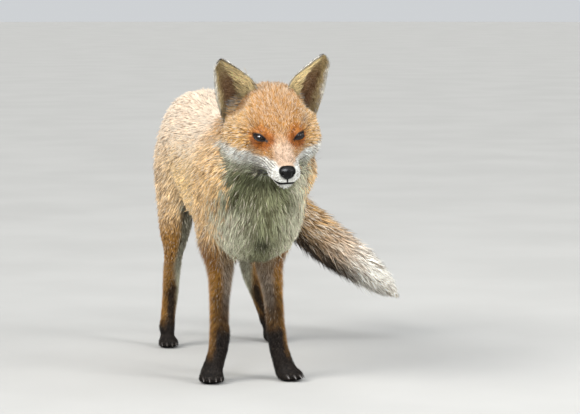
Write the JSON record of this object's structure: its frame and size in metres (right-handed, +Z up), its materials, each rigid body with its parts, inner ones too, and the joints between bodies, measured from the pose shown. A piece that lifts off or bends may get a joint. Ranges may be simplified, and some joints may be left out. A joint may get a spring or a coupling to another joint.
{
  "type": "red fox, life-size still model",
  "caption": "Life-size red fox in winter coat, standing with its head lowered and turned to the viewer, dark stockings, and a pale-tipped brush swung to its left.",
  "frame": {"origin": "middle of the whole fox's footprint, on the floor that its paws stand on", "axes": "+Z up, the fox faces -Y, its left side is +X, and Y is the longest extent"},
  "size_m": [0.4404, 0.7592, 0.5103],
  "materials": {
    "coat_russet": "orange-tan fur, soft and matte",
    "coat_buff": "pale pinkish-buff grizzled fur, soft and matte",
    "coat_white": "off-white fur, soft and matte",
    "coat_dark": "brown-black short fur, matte",
    "nose_leather": "moist black pebbled leather",
    "eye_dark": "dark amber eyeball with a wet gloss"
  },
  "bodies": {
    "root": {"head": "coat_russet", "muzzle": "coat_white", "lower_jaw": "coat_white", "nose": "nose_leather", "eye_right": "eye_dark", "eye_left": "eye_dark", "ear_right": "coat_dark", "ear_left": "coat_dark", "neck": "coat_russet", "breast": "coat_white", "chest": "coat_russet", "loin": "coat_buff", "rump": "coat_buff", "foreleg_right": "coat_russet", "foreleg_left": "coat_russet", "haunch_right": "coat_buff", "haunch_left": "coat_buff", "hindleg_right": "coat_russet", "hindleg_left": "coat_russet", "forepaw_right": "coat_dark", "forepaw_left": "coat_dark", "hindpaw_right": "coat_dark", "hindpaw_left": "coat_dark", "tail_root": "coat_russet", "tail_brush": "coat_buff", "tail_tip": "coat_white"}
  },
  "joints": []
}
